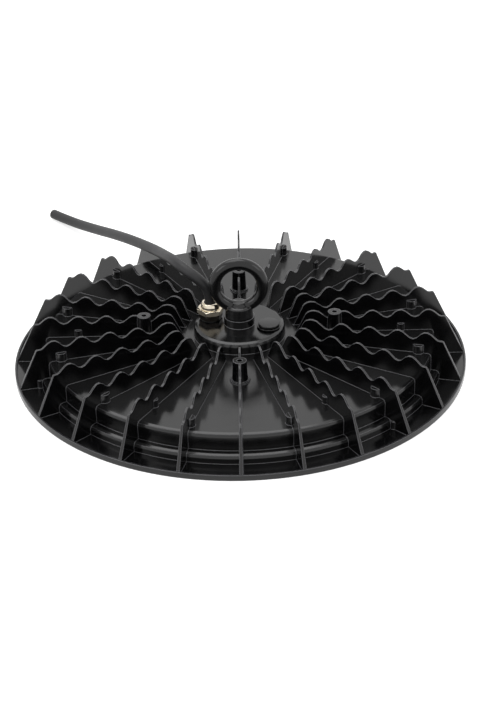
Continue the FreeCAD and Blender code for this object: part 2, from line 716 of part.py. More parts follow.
def led_board():
    hole_d = BOARD_THREAD_D + 2 * PASSING_CLEARANCE
    holes = screw_holes(BOARD_SCREW_R, BOARD_SCREW_BEARINGS, hole_d, BOARD_Z, CAVITY_Z)
    return tube_ring(BOARD_HOLE_R, BOARD_R, BOARD_Z, CAVITY_Z).cut(holes)


def board_screws():
    screws = []
    for bearing in BOARD_SCREW_BEARINGS:
        x, y = at_bearing(BOARD_SCREW_R, bearing)
        screws.append(cheese_screw(
            BOARD_HEAD_D, BOARD_HEAD_HEIGHT, BOARD_THREAD_D, BOARD_SCREW_LENGTH, BOARD_Z, x, y,
        ))
    return Part.makeCompound(screws)


def led_chips():
    """Rings of square chips on the board's underside."""
    chips = []
    radius = BOARD_HOLE_R + LED_FIRST_RING_GAP
    chip = block(LED_SIZE, LED_SIZE, BOARD_Z - LED_HEIGHT, BOARD_Z)
    while radius <= BOARD_SCREW_R - LED_SCREW_GAP:
        count = round(2 * math.pi * radius / LED_SPACING)
        for index in range(count):
            placed = chip.translated(vector(radius, 0, 0))
            chips.append(to_bearing(placed, 360 / count * index))
        radius += LED_RING_STEP
    return Part.makeCompound(chips)


def on_board(size, bearing):
    """A block hanging from the board at the components' radius."""
    length, width, height = size
    return to_bearing(block(length, width, BOARD_Z - height, BOARD_Z, COMPONENT_R, 0), bearing)


def driver_chips():
    return Part.makeCompound([on_board(DRIVER_CHIP_SIZE, bearing) for bearing in DRIVER_CHIP_BEARINGS])


def bridge_rectifier():
    return on_board(RECTIFIER_SIZE, RECTIFIER_BEARING)


def fuse():
    """A glass fuse across the radius, between two square end caps."""
    low = -FUSE_LENGTH / 2
    barrel = hidden_round(FUSE_D - FUSE_CAP_STEP, 0, FUSE_LENGTH, 0, 0)
    barrel.rotate(ORIGIN, vector(1, 0, 0), -90)
    barrel.translate(vector(COMPONENT_R, low, BOARD_Z - FUSE_D / 2))
    shift = (FUSE_LENGTH - FUSE_CAP_LENGTH) / 2
    caps = [
        block(FUSE_D, FUSE_CAP_LENGTH, BOARD_Z - FUSE_D, BOARD_Z, COMPONENT_R, side * shift)
        for side in (-1, 1)
    ]
    return to_bearing(barrel.multiFuse(caps), FUSE_BEARING)


def varistor():
    x, y = at_bearing(COMPONENT_R, VARISTOR_BEARING)
    low = BOARD_Z - VARISTOR_HEIGHT
    return faceted([
        (0, BOARD_Z, 0),
        (0, low, 0),
        (VARISTOR_D / 2, low, VARISTOR_EDGE),
        (VARISTOR_D / 2, BOARD_Z, 0),
    ], PIN_SIDES, x, y)


def terminal_face():
    """X of the terminal block's wire side, and Y of its middle."""
    x, y = at_bearing(COMPONENT_R + TERMINAL_LENGTH / 2, TERMINAL_BEARING)
    return x + TERMINAL_LENGTH / 2, y


def terminal_block():
    face_x, y = terminal_face()
    return block(TERMINAL_LENGTH, TERMINAL_WIDTH, BOARD_Z - TERMINAL_HEIGHT, BOARD_Z, face_x - TERMINAL_LENGTH / 2, y)


def core_start(angle):
    turn = math.radians(angle)
    return GLAND_X + CORE_OFFSET * math.cos(turn), GLAND_Y + CORE_OFFSET * math.sin(turn)


def core_to_terminal(angle, side):
    x, y = core_start(angle)
    face_x, face_y = terminal_face()
    route = [(x, y, LEAD_START_Z), (x, y, CORE_Z), (face_x, face_y + side * TERMINAL_PITCH / 2, CORE_Z)]
    return core(route)


def live_wire():
    return core_to_terminal(270, -1)


def neutral_wire():
    return core_to_terminal(150, 1)


def earth_barrel_end():
    return -EARTH_RING_D / 2 - 0.4 - EARTH_BARREL_LENGTH


def earth_wire():
    x, y = core_start(30)
    level = EARTH_SEAT_Z - EARTH_RING_THICKNESS / 2
    low = CAVITY_Z - 0.2
    end_x = earth_barrel_end()
    route = [
        (x, y, LEAD_START_Z),
        (x, y, low),
        (end_x - 6.4, EARTH_BOSS_Y - 1.0, low + 0.6),
        (end_x - 3.1, EARTH_BOSS_Y, level),
        (end_x, EARTH_BOSS_Y, level),
    ]
    return core(route)


def earth_terminal():
    """A ring with a tongue and the barrel that grips the earth core."""
    low = EARTH_SEAT_Z - EARTH_RING_THICKNESS
    ring = pipe(EARTH_THREAD_D + PASSING_CLEARANCE, EARTH_RING_D, low, EARTH_SEAT_Z, 0, EARTH_BOSS_Y)
    end_x = earth_barrel_end()
    barrel = hidden_round(EARTH_BARREL_D, 0, EARTH_BARREL_LENGTH, 0, 0)
    barrel.rotate(ORIGIN, vector(0, 1, 0), 90)
    barrel.translate(vector(end_x, EARTH_BOSS_Y, EARTH_SEAT_Z - EARTH_RING_THICKNESS / 2))
    tongue_start = end_x + EARTH_BARREL_LENGTH - EARTH_TONGUE_LAP
    tongue_end = -EARTH_RING_D / 2 + 2 * EARTH_TONGUE_LAP
    tongue = block(
        tongue_end - tongue_start, EARTH_TONGUE_WIDTH, low, EARTH_SEAT_Z,
        (tongue_start + tongue_end) / 2, EARTH_BOSS_Y,
    )
    return ring.multiFuse([tongue, barrel]).removeSplitter()


def earth_screw():
    seat = EARTH_SEAT_Z - EARTH_RING_THICKNESS
    return cheese_screw(
        EARTH_HEAD_D, EARTH_HEAD_HEIGHT, EARTH_THREAD_D, EARTH_SCREW_LENGTH, seat, 0, EARTH_BOSS_Y,
    )


def supply_lead():
    points = [(GLAND_X, GLAND_Y, LEAD_START_Z), (GLAND_X, GLAND_Y, LEAD_START_Z + LEAD_FIRST_RUN)] + LEAD_POINTS
    path, radii = lead_line(points)
    solid = swept_section(path, vector(*points[0]), UP, LEAD_D, LEAD_SIDES)
    share = solid.Volume / (math.pi * LEAD_D ** 2 / 4 * path.Length)
    print("lead length %.1f, volume / (section x length) %.4f" % (path.Length, share))
    print("lead radii", [round(radius, 1) for radius in radii])
    return solid


PARTS = {
    "heatsink_housing": heatsink_housing,
    "lifting_eye": lifting_eye,
    "eye_washer": eye_washer,
    "eye_nut": eye_nut,
    "gland_body": gland_body,
    "gland_dome_nut": gland_dome_nut,
    "gland_seal": gland_seal,
    "gland_o_ring": lambda: entry_o_ring(GLAND_X, GLAND_Y),
    "blanking_plug": blanking_plug,
    "plug_o_ring": lambda: entry_o_ring(PLUG_X, PLUG_Y),
    "lens_plate": lens_plate,
    "lens_gasket": lens_gasket,
    "lens_screws": lens_screws,
    "led_board": led_board,
    "led_chips": led_chips,
    "board_screws": board_screws,
    "driver_chips": driver_chips,
    "bridge_rectifier": bridge_rectifier,
    "fuse": fuse,
    "varistor": varistor,
    "terminal_block": terminal_block,
    "live_wire": live_wire,
    "neutral_wire": neutral_wire,
    "earth_wire": earth_wire,
    "earth_terminal": earth_terminal,
    "earth_screw": earth_screw,
    "supply_lead": supply_lead,
}

os.makedirs("parts", exist_ok=True)
for name, make in PARTS.items():
    shape = make()
    if not shape.isValid():
        print("not valid:", name)
    shape.exportStep("parts/%s.step" % name)
    print(name, len(shape.Solids), "solids, volume %.0f" % shape.Volume)
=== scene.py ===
import math

import bmesh
import bpy
from bpy.props import FloatProperty, FloatVectorProperty, IntProperty, PointerProperty
from mathutils import Matrix, Vector


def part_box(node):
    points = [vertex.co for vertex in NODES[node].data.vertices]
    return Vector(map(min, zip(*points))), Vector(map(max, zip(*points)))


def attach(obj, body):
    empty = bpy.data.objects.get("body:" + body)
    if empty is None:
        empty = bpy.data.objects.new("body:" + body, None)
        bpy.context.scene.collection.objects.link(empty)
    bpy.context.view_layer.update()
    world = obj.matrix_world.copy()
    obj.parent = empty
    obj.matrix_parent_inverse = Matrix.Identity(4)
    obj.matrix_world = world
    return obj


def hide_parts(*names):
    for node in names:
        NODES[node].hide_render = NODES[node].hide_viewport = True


bl_info = {
    "name": "High Bay Light",
    "version": (1, 0, 0),
    "blender": (4, 5, 0),
    "location": "View3D > Sidebar > High Bay",
    "description": "Dresses the solid model of a finned high bay light and stages it",
    "category": "Object",
}

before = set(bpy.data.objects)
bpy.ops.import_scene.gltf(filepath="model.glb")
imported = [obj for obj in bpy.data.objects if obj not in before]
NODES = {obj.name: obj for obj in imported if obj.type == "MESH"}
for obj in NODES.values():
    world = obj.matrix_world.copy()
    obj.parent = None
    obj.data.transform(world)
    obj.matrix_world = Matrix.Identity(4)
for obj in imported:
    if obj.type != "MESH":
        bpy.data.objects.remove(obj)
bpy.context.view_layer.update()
MM = 0.001


def corner(node_name, which):
    """Lowest (0) or highest (1) corner of a CAD node, in millimetres."""
    return [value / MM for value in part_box(node_name)[which]]


def middle(node_name):
    """Centre of a CAD node's box, in millimetres."""
    return [(low + high) / 2 for low, high in zip(corner(node_name, 0), corner(node_name, 1))]


# Levels and centres that the pieces share, from the solids, in millimetres
EYE_LOW = corner("lifting_eye", 0)
EYE_HIGH = corner("lifting_eye", 1)
GLAND_X, GLAND_Y, _ = middle("gland_body")
NUT_LOW_Z = corner("gland_dome_nut", 0)[2]
NUT_TOP_Z = corner("gland_dome_nut", 1)[2]
PLUG_X, PLUG_Y, _ = middle("blanking_plug")
PLUG_LOW_Z = corner("blanking_plug", 0)[2]
PLUG_TOP_Z = corner("blanking_plug", 1)[2]
O_RING_TOP_Z = corner("gland_o_ring", 1)[2]
BOARD_LOW_Z = corner("led_board", 0)[2]

# Control points of the supply lead, the same route as its solid, in millimetres
LEAD_ROUTE = [
    (-19.0, 7.5, 36.9),
    (-19.0, 7.5, 47.9),
    (-27.3, 7.9, 57.3),
    (-36.6, 13.1, 62.0),
    (-42.8, 25.1, 62.0),
    (-47.9, 41.0, 57.0),
    (-55.2, 66.4, 48.5),
    (-68.5, 97.3, 39.5),
    (-86.9, 135.1, 28.0),
    (-106.3, 175.9, 13.5),
    (-127.2, 208.7, 4.6),
    (-142.3, 225.5, 3.6),
]

# Camera's place and the point that it looks at in millimetres, and its roll in degrees
CAMERA_PLACE = (7.9, -1140.6, 645.4)
CAMERA_AIM = (0.2, 10.9, 0.0)
CAMERA_ROLL = -1.4171

# Name, place and width in metres, and share of the key's power, of each softbox
SOFTBOXES = [
    ("softbox_overhead", (-0.3, 0.5, 1.9), 1.6, 1.0),
    ("softbox_left", (-1.7, -0.9, 1.1), 1.0, 0.35),
    ("softbox_right", (1.8, -0.6, 1.2), 1.0, 0.25),
]
# Half the width of the floor, in metres
FLOOR_HALF = 6.0
# The floor lies a hair under the rim, so that the two faces don't share a plane
FLOOR_DROP = 0.03 * MM
# What the floor adds of its own to the light that it scatters, so that it is seen as white
FLOOR_GLOW = 0.62

# Height of the lifting ring's centre over the eye's seat, in millimetres
EYE_CENTRE_RISE = 22.1

# Steps round the gland, longest runs of its two profiles, and gap under the nut, in millimetres
GLAND_STEPS = 192
NUT_RUN = 0.35
BODY_RUN = 0.4
NUT_GAP = 0.3

# Bearing of the first screw in degrees, and lengths of the screws in millimetres
LENS_SCREW_FIRST = 15
BOARD_SCREW_FIRST = 0
LENS_HEAD_HEIGHT = 2.0
BOARD_HEAD_HEIGHT = 1.8
SCREW_SHANK_R = 1.45
SOCKET_DEPTH = 1.2
# Width of a hexagon socket across its flats, as a share of the head's diameter
SOCKET_SHARE = 0.4
SCREW_STEPS = 24

# Light package: radius of its round well as a share of half its width, radius of the dome as a
# share of the well's, and depths of the well and of the dome's tip in millimetres
WELL_SHARE = 0.78
DOME_SHARE = 0.98
WELL_DEPTH = 0.25
DOME_DEPTH = 0.12
PACKAGE_SIDES = 16


# ---------------------------------------------------------------- colours and nodes

def from_hex(code, alpha=1.0):
    """An sRGB hex code as a linear colour."""
    values = []
    for place in (1, 3, 5):
        share = int(code[place:place + 2], 16) / 255
        values.append(share / 12.92 if share <= 0.04045 else ((share + 0.055) / 1.055) ** 2.4)
    return (*values, alpha)


def add_node(tree, kind, settings=None, inputs=None, links=None):
    """Adds a node, sets its properties and input values, and links output sockets into it."""
    made = tree.nodes.new(kind)
    for name, value in (settings or {}).items():
        setattr(made, name, value)
    for name, value in (inputs or {}).items():
        made.inputs[name].default_value = value
    for name, socket in (links or {}).items():
        tree.links.new(socket, made.inputs[name])
    return made


def new_material(name):
    """An empty node material with its output, and object coordinates in metres."""
    material = bpy.data.materials.new(name)
    material.use_nodes = True
    tree = material.node_tree
    tree.nodes.clear()
    output = add_node(tree, "ShaderNodeOutputMaterial")
    place = add_node(tree, "ShaderNodeTexCoord").outputs["Object"]
    return material, tree, output, place


def grain(tree, place, size_mm, detail=3.0, rough=0.55, stretch=None):
    """Noise whose features are about this size, as a value socket."""
    vector = place
    if stretch:
        vector = add_node(tree, "ShaderNodeMapping", inputs={"Scale": stretch},
                          links={"Vector": place}).outputs["Vector"]
    return add_node(
        tree, "ShaderNodeTexNoise",
        inputs={"Scale": 1 / (size_mm * MM), "Detail": detail, "Roughness": rough},
        links={"Vector": vector},
    ).outputs["Fac"]


def ramp(tree, value, low, high, start=0.3, end=0.7):
    """Spreads a value socket from low to high, as colours or numbers."""
    kind = "RGBA" if isinstance(low, tuple) else "FLOAT"
    if kind == "FLOAT":
        return add_node(
            tree, "ShaderNodeMapRange",
            inputs={"From Min": start, "From Max": end, "To Min": low, "To Max": high},
            links={"Value": value},
        ).outputs["Result"]
    share = add_node(
        tree, "ShaderNodeMapRange", inputs={"From Min": start, "From Max": end},
        links={"Value": value},
    ).outputs["Result"]
    mixed = add_node(tree, "ShaderNodeMix", {"data_type": "RGBA"}, links={"Factor": share})
    mixed.inputs[6].default_value = low
    mixed.inputs[7].default_value = high
    return mixed.outputs[2]


def relief(tree, height, depth_mm, strength=1.0, normal=None):
    """A bump of this depth, on top of another normal where one is given."""
    links = {"Height": height}
    if normal:
        links["Normal"] = normal
    return add_node(
        tree, "ShaderNodeBump", inputs={"Distance": depth_mm * MM, "Strength": strength}, links=links,
    ).outputs["Normal"]


def eased_edges(tree, radius_mm):
    """Shades sharp edges as if they were rounded to this radius."""
    return add_node(
        tree, "ShaderNodeBevel", {"samples": 6}, inputs={"Radius": radius_mm * MM},
    ).outputs["Normal"]


def along_edges(tree, eased):
    """A mask that is 1 where the eased shading turns away from the flat face, and 0 elsewhere."""
    flat = add_node(tree, "ShaderNodeNewGeometry").outputs["True Normal"]
    agreement = add_node(
        tree, "ShaderNodeVectorMath", {"operation": "DOT_PRODUCT"}, links={0: eased, 1: flat},
    ).outputs["Value"]
    return ramp(tree, agreement, low=1.0, high=0.0, start=0.8, end=0.99)


def finish_surface(tree, output, inputs, links):
    """One principled shader with these values and sockets, led to the material's output."""
    shader = add_node(tree, "ShaderNodeBsdfPrincipled", inputs=inputs, links=links)
    tree.links.new(shader.outputs["BSDF"], output.inputs["Surface"])


def reflected(tree, path):
    """1 for rays that come by a reflection or through something clear, and 0 for the others."""
    return add_node(
        tree, "ShaderNodeMath", {"operation": "MAXIMUM"},
        links={0: path.outputs["Is Glossy Ray"], 1: path.outputs["Is Transmission Ray"]},
    ).outputs[0]


# ---------------------------------------------------------------- materials

def black_powder_coat(colour, roughness):
    """Polyester powder coat on die-cast aluminium, sprayed and baked.

    The eye gets a near-black satin skin with soft, slightly uneven reflections and painted pale
    highlights on its edges.
    """
    material, tree, output, place = new_material("black_powder_coat_on_cast_aluminium")
    # Orange peel is about 1.5 mm across, and is drawn at 2.5 mm so that it shows
    peel = grain(tree, place, size_mm=2.5, detail=2.0)
    # The casting itself is uneven over some 25 mm
    swell = grain(tree, place, size_mm=25, detail=1.0)
    edges = eased_edges(tree, radius_mm=0.9)
    normal = relief(tree, swell, depth_mm=0.25, strength=0.2, normal=edges)
    normal = relief(tree, peel, depth_mm=0.02, strength=0.25, normal=normal)
    # Dust lies unevenly on the coat and dulls it in patches of some 12 mm
    dust = grain(tree, place, size_mm=12, detail=4.0)
    # The solids have sharp edges, where a casting has small fillets that catch the light. A paler
    # line along each edge stands in for that highlight
    coat = add_node(
        tree, "ShaderNodeMix", {"data_type": "RGBA"}, links={"Factor": along_edges(tree, edges)},
    )
    tree.links.new(ramp(tree, dust, tuple(colour), from_hex("#0c0c0d")), coat.inputs[6])
    # Painted highlight: the pale grey that the edge mask lays along each edge
    coat.inputs[7].default_value = from_hex("#646468")
    finish_surface(
        tree, output,
        # Higher than the 1.5 of plain polyester, for stronger reflections
        {"IOR": 1.58, "Metallic": 0.0},
        {
            "Base Color": coat.outputs[2],
            "Roughness": ramp(tree, dust, roughness - 0.03, roughness + 0.04),
            "Normal": normal,
        },
    )
    return material


def painted_forged_steel(colour, roughness):
    """Drop-forged steel, electrophoretically painted black.

    The eye gets a smooth black skin, a little glossier than the casting, with forging's faint waves.
    """
    material, tree, output, place = new_material("black_painted_forged_steel")
    waves = grain(tree, place, size_mm=6, detail=2.0)
    speck = grain(tree, place, size_mm=1.2, detail=2.0)
    normal = relief(tree, waves, depth_mm=0.12, strength=0.25)
    normal = relief(tree, speck, depth_mm=0.015, strength=0.25, normal=normal)
    finish_surface(
        tree, output,
        {"IOR": 1.5, "Metallic": 0.0},
        {
            "Base Color": ramp(tree, waves, tuple(colour), from_hex("#0c0c0d")),
            "Roughness": ramp(tree, speck, roughness - 0.04, roughness + 0.06),
            "Normal": normal,
        },
    )
    return material


def nickel_plated_brass(name, colour, stained, roughness):
    """Turned brass with nickel plating.

    The eye gets a warm metal with sharp reflections and fine turning lines round its axis.
    """
    material, tree, output, place = new_material(name)
    # Turning lines run round the axis every 0.1 mm, and are drawn at 0.5 mm so that they show
    lines = grain(tree, place, size_mm=0.5, detail=2.0, stretch=(0.04, 0.04, 1.0))
    stain = grain(tree, place, size_mm=5, detail=3.0)
    finish_surface(
        tree, output,
        {"Metallic": 1.0},
        {
            "Base Color": ramp(tree, stain, tuple(colour), stained),
            "Roughness": ramp(tree, lines, roughness - 0.04, roughness + 0.05),
            "Normal": relief(tree, lines, depth_mm=0.01, strength=0.2),
        },
    )
    return material


def moulded_plastic(name, colour, colour_worn, roughness, size_mm=0.8):
    """Moulded or extruded plastic with a fine texture.

    The eye gets an even plastic with a low sheen.
    """
    material, tree, output, place = new_material(name)
    texture = grain(tree, place, size_mm, detail=2.0)
    blotch = grain(tree, place, size_mm=7, detail=3.0)
    finish_surface(
        tree, output,
        {"IOR": 1.52},
        {
            "Base Color": ramp(tree, blotch, colour, colour_worn),
            "Roughness": ramp(tree, blotch, roughness - 0.04, roughness + 0.06),
            "Normal": relief(tree, texture, depth_mm=0.02, strength=0.5,
                             normal=eased_edges(tree, radius_mm=0.25)),
        },
    )
    return material


def rubber_sheath(name, colour, colour_dusty, roughness, size_mm=1.2):
    """Extruded or moulded rubber, dusted with talc.

    The eye gets a matt skin with a soft sheen and faint scuffs.
    """
    material, tree, output, place = new_material(name)
    scuff = grain(tree, place, size_mm=9, detail=5.0, rough=0.65)
    pores = grain(tree, place, size_mm, detail=2.0)
    finish_surface(
        tree, output,
        {"IOR": 1.5, "Specular IOR Level": 0.45},
        {
            "Base Color": ramp(tree, scuff, colour, colour_dusty, start=0.35, end=0.75),
            "Roughness": ramp(tree, scuff, roughness - 0.05, roughness + 0.08),
            "Normal": relief(tree, pores, depth_mm=0.03, strength=0.5),
        },
    )
    return material


def clear_polycarbonate():
    """Injection-moulded clear polycarbonate with a polished face.

    The eye gets a clear sheet with a faint ripple.
    """
    material, tree, output, place = new_material("clear_moulded_polycarbonate")
    ripple = grain(tree, place, size_mm=14, detail=1.0)
    finish_surface(
        tree, output,
        {"Base Color": from_hex("#f4f8fa"), "IOR": 1.585, "Transmission Weight": 1.0},
        {
            "Roughness": ramp(tree, ripple, 0.02, 0.06),
            "Normal": relief(tree, ripple, depth_mm=0.05, strength=0.25),
        },
    )
    return material


def tumbled_steel():
    """Cold-headed stainless steel, tumbled. It serves for the tinned terminal too.

    The eye gets a grey metal with small random scratches.
    """
    material, tree, output, place = new_material("tumbled_stainless_steel")
    scratch = grain(tree, place, size_mm=0.6, detail=4.0, stretch=(1.0, 0.3, 1.0))
    finish_surface(
        tree, output,
        {"Metallic": 1.0},
        {
            "Base Color": ramp(tree, scratch, from_hex("#b9b9bb"), from_hex("#d2d2d3")),
            "Roughness": ramp(tree, scratch, 0.24, 0.4),
            "Normal": relief(tree, scratch, depth_mm=0.01, strength=0.4,
                             normal=eased_edges(tree, radius_mm=0.2)),
        },
    )
    return material


def white_solder_mask():
    """Aluminium circuit board under white solder mask.

    The eye gets a bright satin white with the copper tracks showing as faint steps.
    """
    material, tree, output, place = new_material("white_solder_mask_on_aluminium_board")
    # Tracks are pads some 11 mm wide with narrow gaps between them
    cells = add_node(
        tree, "ShaderNodeTexVoronoi", {"feature": "DISTANCE_TO_EDGE"},
        inputs={"Scale": 1 / (11 * MM)}, links={"Vector": place},
    ).outputs["Distance"]
    tracks = ramp(tree, cells, low=0.0, high=1.0, start=0.03, end=0.07)
    tone = grain(tree, place, size_mm=30, detail=2.0)
    finish_surface(
        tree, output,
        {"IOR": 1.5},
        {
            "Base Color": ramp(tree, tone, from_hex("#e9ebe8"), from_hex("#f3f4f1")),
            "Roughness": ramp(tree, tone, 0.32, 0.42),
            "Normal": relief(tree, tracks, depth_mm=0.06, strength=0.6),
        },
    )
    return material


def led_phosphor():
    """Silicone filled with yellow phosphor, dispensed into each package.

    The eye gets a warm yellow, slightly translucent dome.
    """
    material, tree, output, place = new_material("phosphor_filled_silicone")
    powder = grain(tree, place, size_mm=0.4, detail=2.0)
    finish_surface(
        tree, output,
        {"IOR": 1.45, "Subsurface Weight": 0.2, "Subsurface Scale": 0.4 * MM},
        {
            "Base Color": ramp(tree, powder, from_hex("#e8c548"), from_hex("#f2d765")),
            "Roughness": ramp(tree, powder, 0.22, 0.34),
            "Normal": relief(tree, powder, depth_mm=0.01, strength=0.4),
        },
    )
    return material


def fuse_glass():
    """Drawn glass tube of a fuse, filled with sand.

    The eye gets a pale, slightly frosted tube.
    """
    material, tree, output, place = new_material("drawn_fuse_glass")
    sand = grain(tree, place, size_mm=0.5, detail=3.0)
    finish_surface(
        tree, output,
        {"Base Color": from_hex("#e6ecec"), "IOR": 1.5, "Transmission Weight": 0.7},
        {
            "Roughness": ramp(tree, sand, 0.08, 0.3),
            "Normal": relief(tree, sand, depth_mm=0.01, strength=0.3),
        },
    )
    return material


def earth_core_sheath():
    """Extruded PVC of an earth core.

    The eye gets a satin green with slanting yellow stripes.
    """
    material, tree, output, place = new_material("green_and_yellow_pvc")
    stripe = add_node(
        tree, "ShaderNodeTexWave", {"bands_direction": "DIAGONAL"},
        inputs={"Scale": 1 / (26 * MM)}, links={"Vector": place},
    ).outputs["Fac"]
    finish_surface(
        tree, output,
        {"IOR": 1.53},
        {
            "Base Color": ramp(
                tree, stripe, from_hex("#2f7d32"), from_hex("#d9c92a"), start=0.55, end=0.6),
            "Roughness": ramp(tree, stripe, 0.36, 0.44),
        },
    )
    return material


# ---------------------------------------------------------------- meshes

def make_piece(name, points, faces, material, node=None, smooth=True):
    """A mesh piece in metres from millimetre points, riding on the body and standing for its node."""
    data = bpy.data.meshes.new(name)
    data.from_pydata([Vector(point) * MM for point in points], [], faces)
    shape = bmesh.new()
    shape.from_mesh(data)
    bmesh.ops.remove_doubles(shape, verts=shape.verts, dist=0.004 * MM)
    bmesh.ops.dissolve_degenerate(shape, edges=shape.edges, dist=0.002 * MM)
    bmesh.ops.recalc_face_normals(shape, faces=shape.faces)
    shape.to_mesh(data)
    shape.free()
    piece = bpy.data.objects.new(name, data)
    bpy.context.scene.collection.objects.link(piece)
    data.materials.append(material)
    if smooth:
        smooth_by_angle(data, degrees=32)
    settle(piece, node)
    return piece


def smooth_by_angle(data, degrees):
    """Smooth faces, with edges sharper than this many degrees kept sharp."""
    data.shade_smooth()
    data.set_sharp_from_angle(angle=math.radians(degrees))


def settle(piece, node=None):
    """Rides a piece on the body, and hides the node that it stands for."""
    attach(piece, "root")
    if node:
        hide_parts(node)


def rounded(profile, steps=4):
    """A profile of (radius, height, corner radius) points with its corners rounded by arcs."""
    points = [Vector((entry[0], entry[1])) for entry in profile]
    result = []
    for index, entry in enumerate(profile):
        here = points[index]
        ease = entry[2] if len(entry) > 2 else 0
        if ease <= 0 or index in (0, len(profile) - 1):
            result.append((here.x, here.y))
            continue
        back = (points[index - 1] - here).normalized()
        ahead = (points[index + 1] - here).normalized()
        half = back.angle(ahead) / 2
        centre = here + (back + ahead).normalized() * (ease / math.sin(half))
        side = (ahead - back).normalized()
        towards = (here - centre).normalized()
        turn = math.pi - 2 * half
        for step in range(steps + 1):
            angle = turn * (step / steps - 0.5)
            point = centre + towards * (ease * math.cos(angle)) + side * (ease * math.sin(angle))
            result.append((point.x, point.y))
    return result


def split_long(profile, longest):
    """Adds points to a profile so that no run is longer than this."""
    result = [profile[0]]
    for (r0, z0), (r1, z1) in zip(profile, profile[1:]):
        parts = max(1, math.ceil(math.hypot(r1 - r0, z1 - z0) / longest))
        for part in range(1, parts + 1):
            share = part / parts
            result.append((r0 + (r1 - r0) * share, z0 + (z1 - z0) * share))
    return result


def lathe(profile, x, y, base_z, steps=96, flats=None, turn=0.0, closed=False):
    """Points and faces of a turned form. Where flats is given, a hexagon of that width cuts it."""
    points = []
    faces = []
    rows = len(profile)
    for step in range(steps):
        angle = 2 * math.pi * step / steps
        limit = math.inf
        if flats:
            off = (angle - math.radians(turn)) % (math.pi / 3) - math.pi / 6
            limit = flats / 2 / math.cos(off)
        for radius, height in profile:
            reach = min(radius, limit)
            points.append((x + reach * math.cos(angle), y + reach * math.sin(angle), base_z + height))
    for step in range(steps):
        here = step * rows
        ahead = (step + 1) % steps * rows
        for row in range(rows if closed else rows - 1):
            after = (row + 1) % rows
            faces.append((here + row, ahead + row, ahead + after, here + after))
    return points, faces


def bridge(inner_points, inner_rows, outer_end, x, y, base_z):
    """Closes the face between the last row of one turned form and the first point of another."""
    steps = len(inner_points) // inner_rows
    points = []
    faces = []
    for step in range(steps):
        angle = 2 * math.pi * step / steps
        points.append(inner_points[step * inner_rows + inner_rows - 1])
        points.append((x + outer_end[0] * math.cos(angle), y + outer_end[0] * math.sin(angle),
                       base_z + outer_end[1]))
        ahead = (step + 1) % steps
        faces.append((2 * step, 2 * ahead, 2 * ahead + 1, 2 * step + 1))
    return points, faces


def upright_ring(radius, wire, centre_z, around=96, across=32):
    """Points and faces of a round ring that stands in the XZ plane. Wire is a radius."""
    points = []
    faces = []
    for step in range(around):
        turn = 2 * math.pi * step / around
        here = step * across
        ahead = (step + 1) % around * across
        for side in range(across):
            angle = 2 * math.pi * side / across
            reach = radius + wire * math.cos(angle)
            points.append((reach * math.cos(turn), wire * math.sin(angle),
                           centre_z + reach * math.sin(turn)))
            after = (side + 1) % across
            faces.append((here + side, ahead + side, ahead + after, here + after))
    return points, faces


def joined(*forms):
    """Several sets of points and faces as one."""
    points = []
    faces = []
    for more_points, more_faces in forms:
        shift = len(points)
        points.extend(more_points)
        faces.extend(tuple(index + shift for index in face) for face in more_faces)
    return points, faces


def fused(piece, voxel_mm, smoothing):
    """Melts a piece's overlapping forms into one skin, eased where they meet."""
    melt = piece.modifiers.new("melt", "REMESH")
    melt.mode = "VOXEL"
    melt.voxel_size = voxel_mm * MM
    ease = piece.modifiers.new("ease", "SMOOTH")
    ease.factor = 0.5
    ease.iterations = smoothing
    data = bpy.data.meshes.new_from_object(piece.evaluated_get(bpy.context.evaluated_depsgraph_get()))
    piece.modifiers.clear()
    old = piece.data
    piece.data = data
    bpy.data.meshes.remove(old)
    data.shade_smooth()


def dress(names, material):
    """Gives CAD nodes their material."""
    for name in names:
        for place in NODES[name].material_slots:
            place.material = material


# ---------------------------------------------------------------- settings

def length_setting(name, description, default, low, high):
    """A length, from its default and limits in millimetres."""
    return FloatProperty(name=name, description=description, unit="LENGTH",
                         default=default * MM, min=low * MM, max=high * MM)


def colour_setting(name, description, default):
    """A colour, from its sRGB hex code."""
    return FloatVectorProperty(name=name, description=description, subtype="COLOR", size=4,
                               default=from_hex(default), min=0, max=1)


def number_setting(name, description, default, low, high, unit="NONE"):
    """A plain number, with its default and limits."""
    return FloatProperty(name=name, description=description, default=default, min=low, max=high,
                         unit=unit)


def count_setting(name, description, default, low, high):
    """A whole number, with its default and limits."""
    return IntProperty(name=name, description=description, default=default, min=low, max=high)


class HousingSettings(bpy.types.PropertyGroup):
    paint: colour_setting("Paint", "Colour of the powder coat", "#060607")
    roughness: number_setting("Roughness", "Roughness of the powder coat", 0.16, 0.05, 1)


class EyeSettings(bpy.types.PropertyGroup):
    wire: length_setting("Wire", "Diameter of the ring's wire", 7.9, 2, 9)
    collar: length_setting("Collar", "Diameter of the collar", 18.5, 12, 20)
    collar_height: length_setting("Collar height", "Height of the collar's wall", 7.7, 2, 9)
    crown: length_setting("Crown", "Diameter of the flat saddle inside the ring", 9, 6, 14)
    shank: length_setting("Shank", "Diameter of the threaded shank", 8, 4, 8.4)
    paint: colour_setting("Paint", "Colour of the eye's paint", "#060607")
    roughness: number_setting("Roughness", "Roughness of the eye's paint", 0.16, 0.05, 1)


class GlandSettings(bpy.types.PropertyGroup):
    nut_flats: length_setting("Nut flats", "Width of the dome nut across its flats", 16, 12, 17)
    body_flats: length_setting("Body flats", "Width of the body across its flats", 14, 12, 16)
    mouth: length_setting("Mouth", "Diameter of the mouth round the lead", 8.4, 7.4, 10)
    turn: FloatProperty(name="Turn", description="Turn of the hexagons about the gland's axis",
                        default=math.radians(12), subtype="ANGLE")
    plating: colour_setting("Plating", "Colour of the nut's plating", "#ece3d2")
    roughness: number_setting("Roughness", "Roughness of the nut's plating", 0.1, 0.03, 1)


